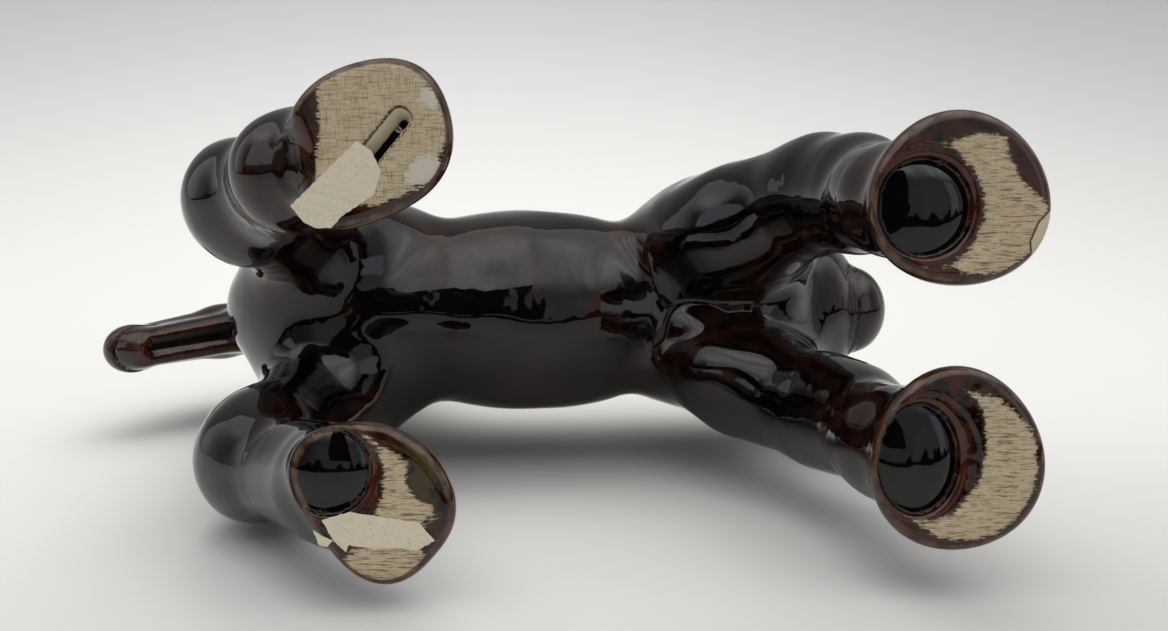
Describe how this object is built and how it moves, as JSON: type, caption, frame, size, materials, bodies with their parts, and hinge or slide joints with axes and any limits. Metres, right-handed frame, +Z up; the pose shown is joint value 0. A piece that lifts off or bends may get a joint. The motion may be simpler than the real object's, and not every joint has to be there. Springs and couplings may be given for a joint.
{
  "type": "ceramic horse figurine",
  "caption": "Cast ceramic heavy horse standing on flared feathered feet, dark treacle glaze, bare clay on the flat soles, docked tail tied in a bun",
  "frame": {"origin": "centre of the bounding box in plan, on the plane of the four soles", "axes": "the horse faces -Y, its left side is +X, +Z is up"},
  "size_m": [0.1324, 0.294, 0.2465],
  "materials": {
    "treacle_glaze": "thick glossy near-black brown glaze, red-brown where it runs thin, light brown at edges, bare beige clay on the soles"
  },
  "bodies": {
    "root": {"horse": "treacle_glaze"}
  },
  "joints": []
}
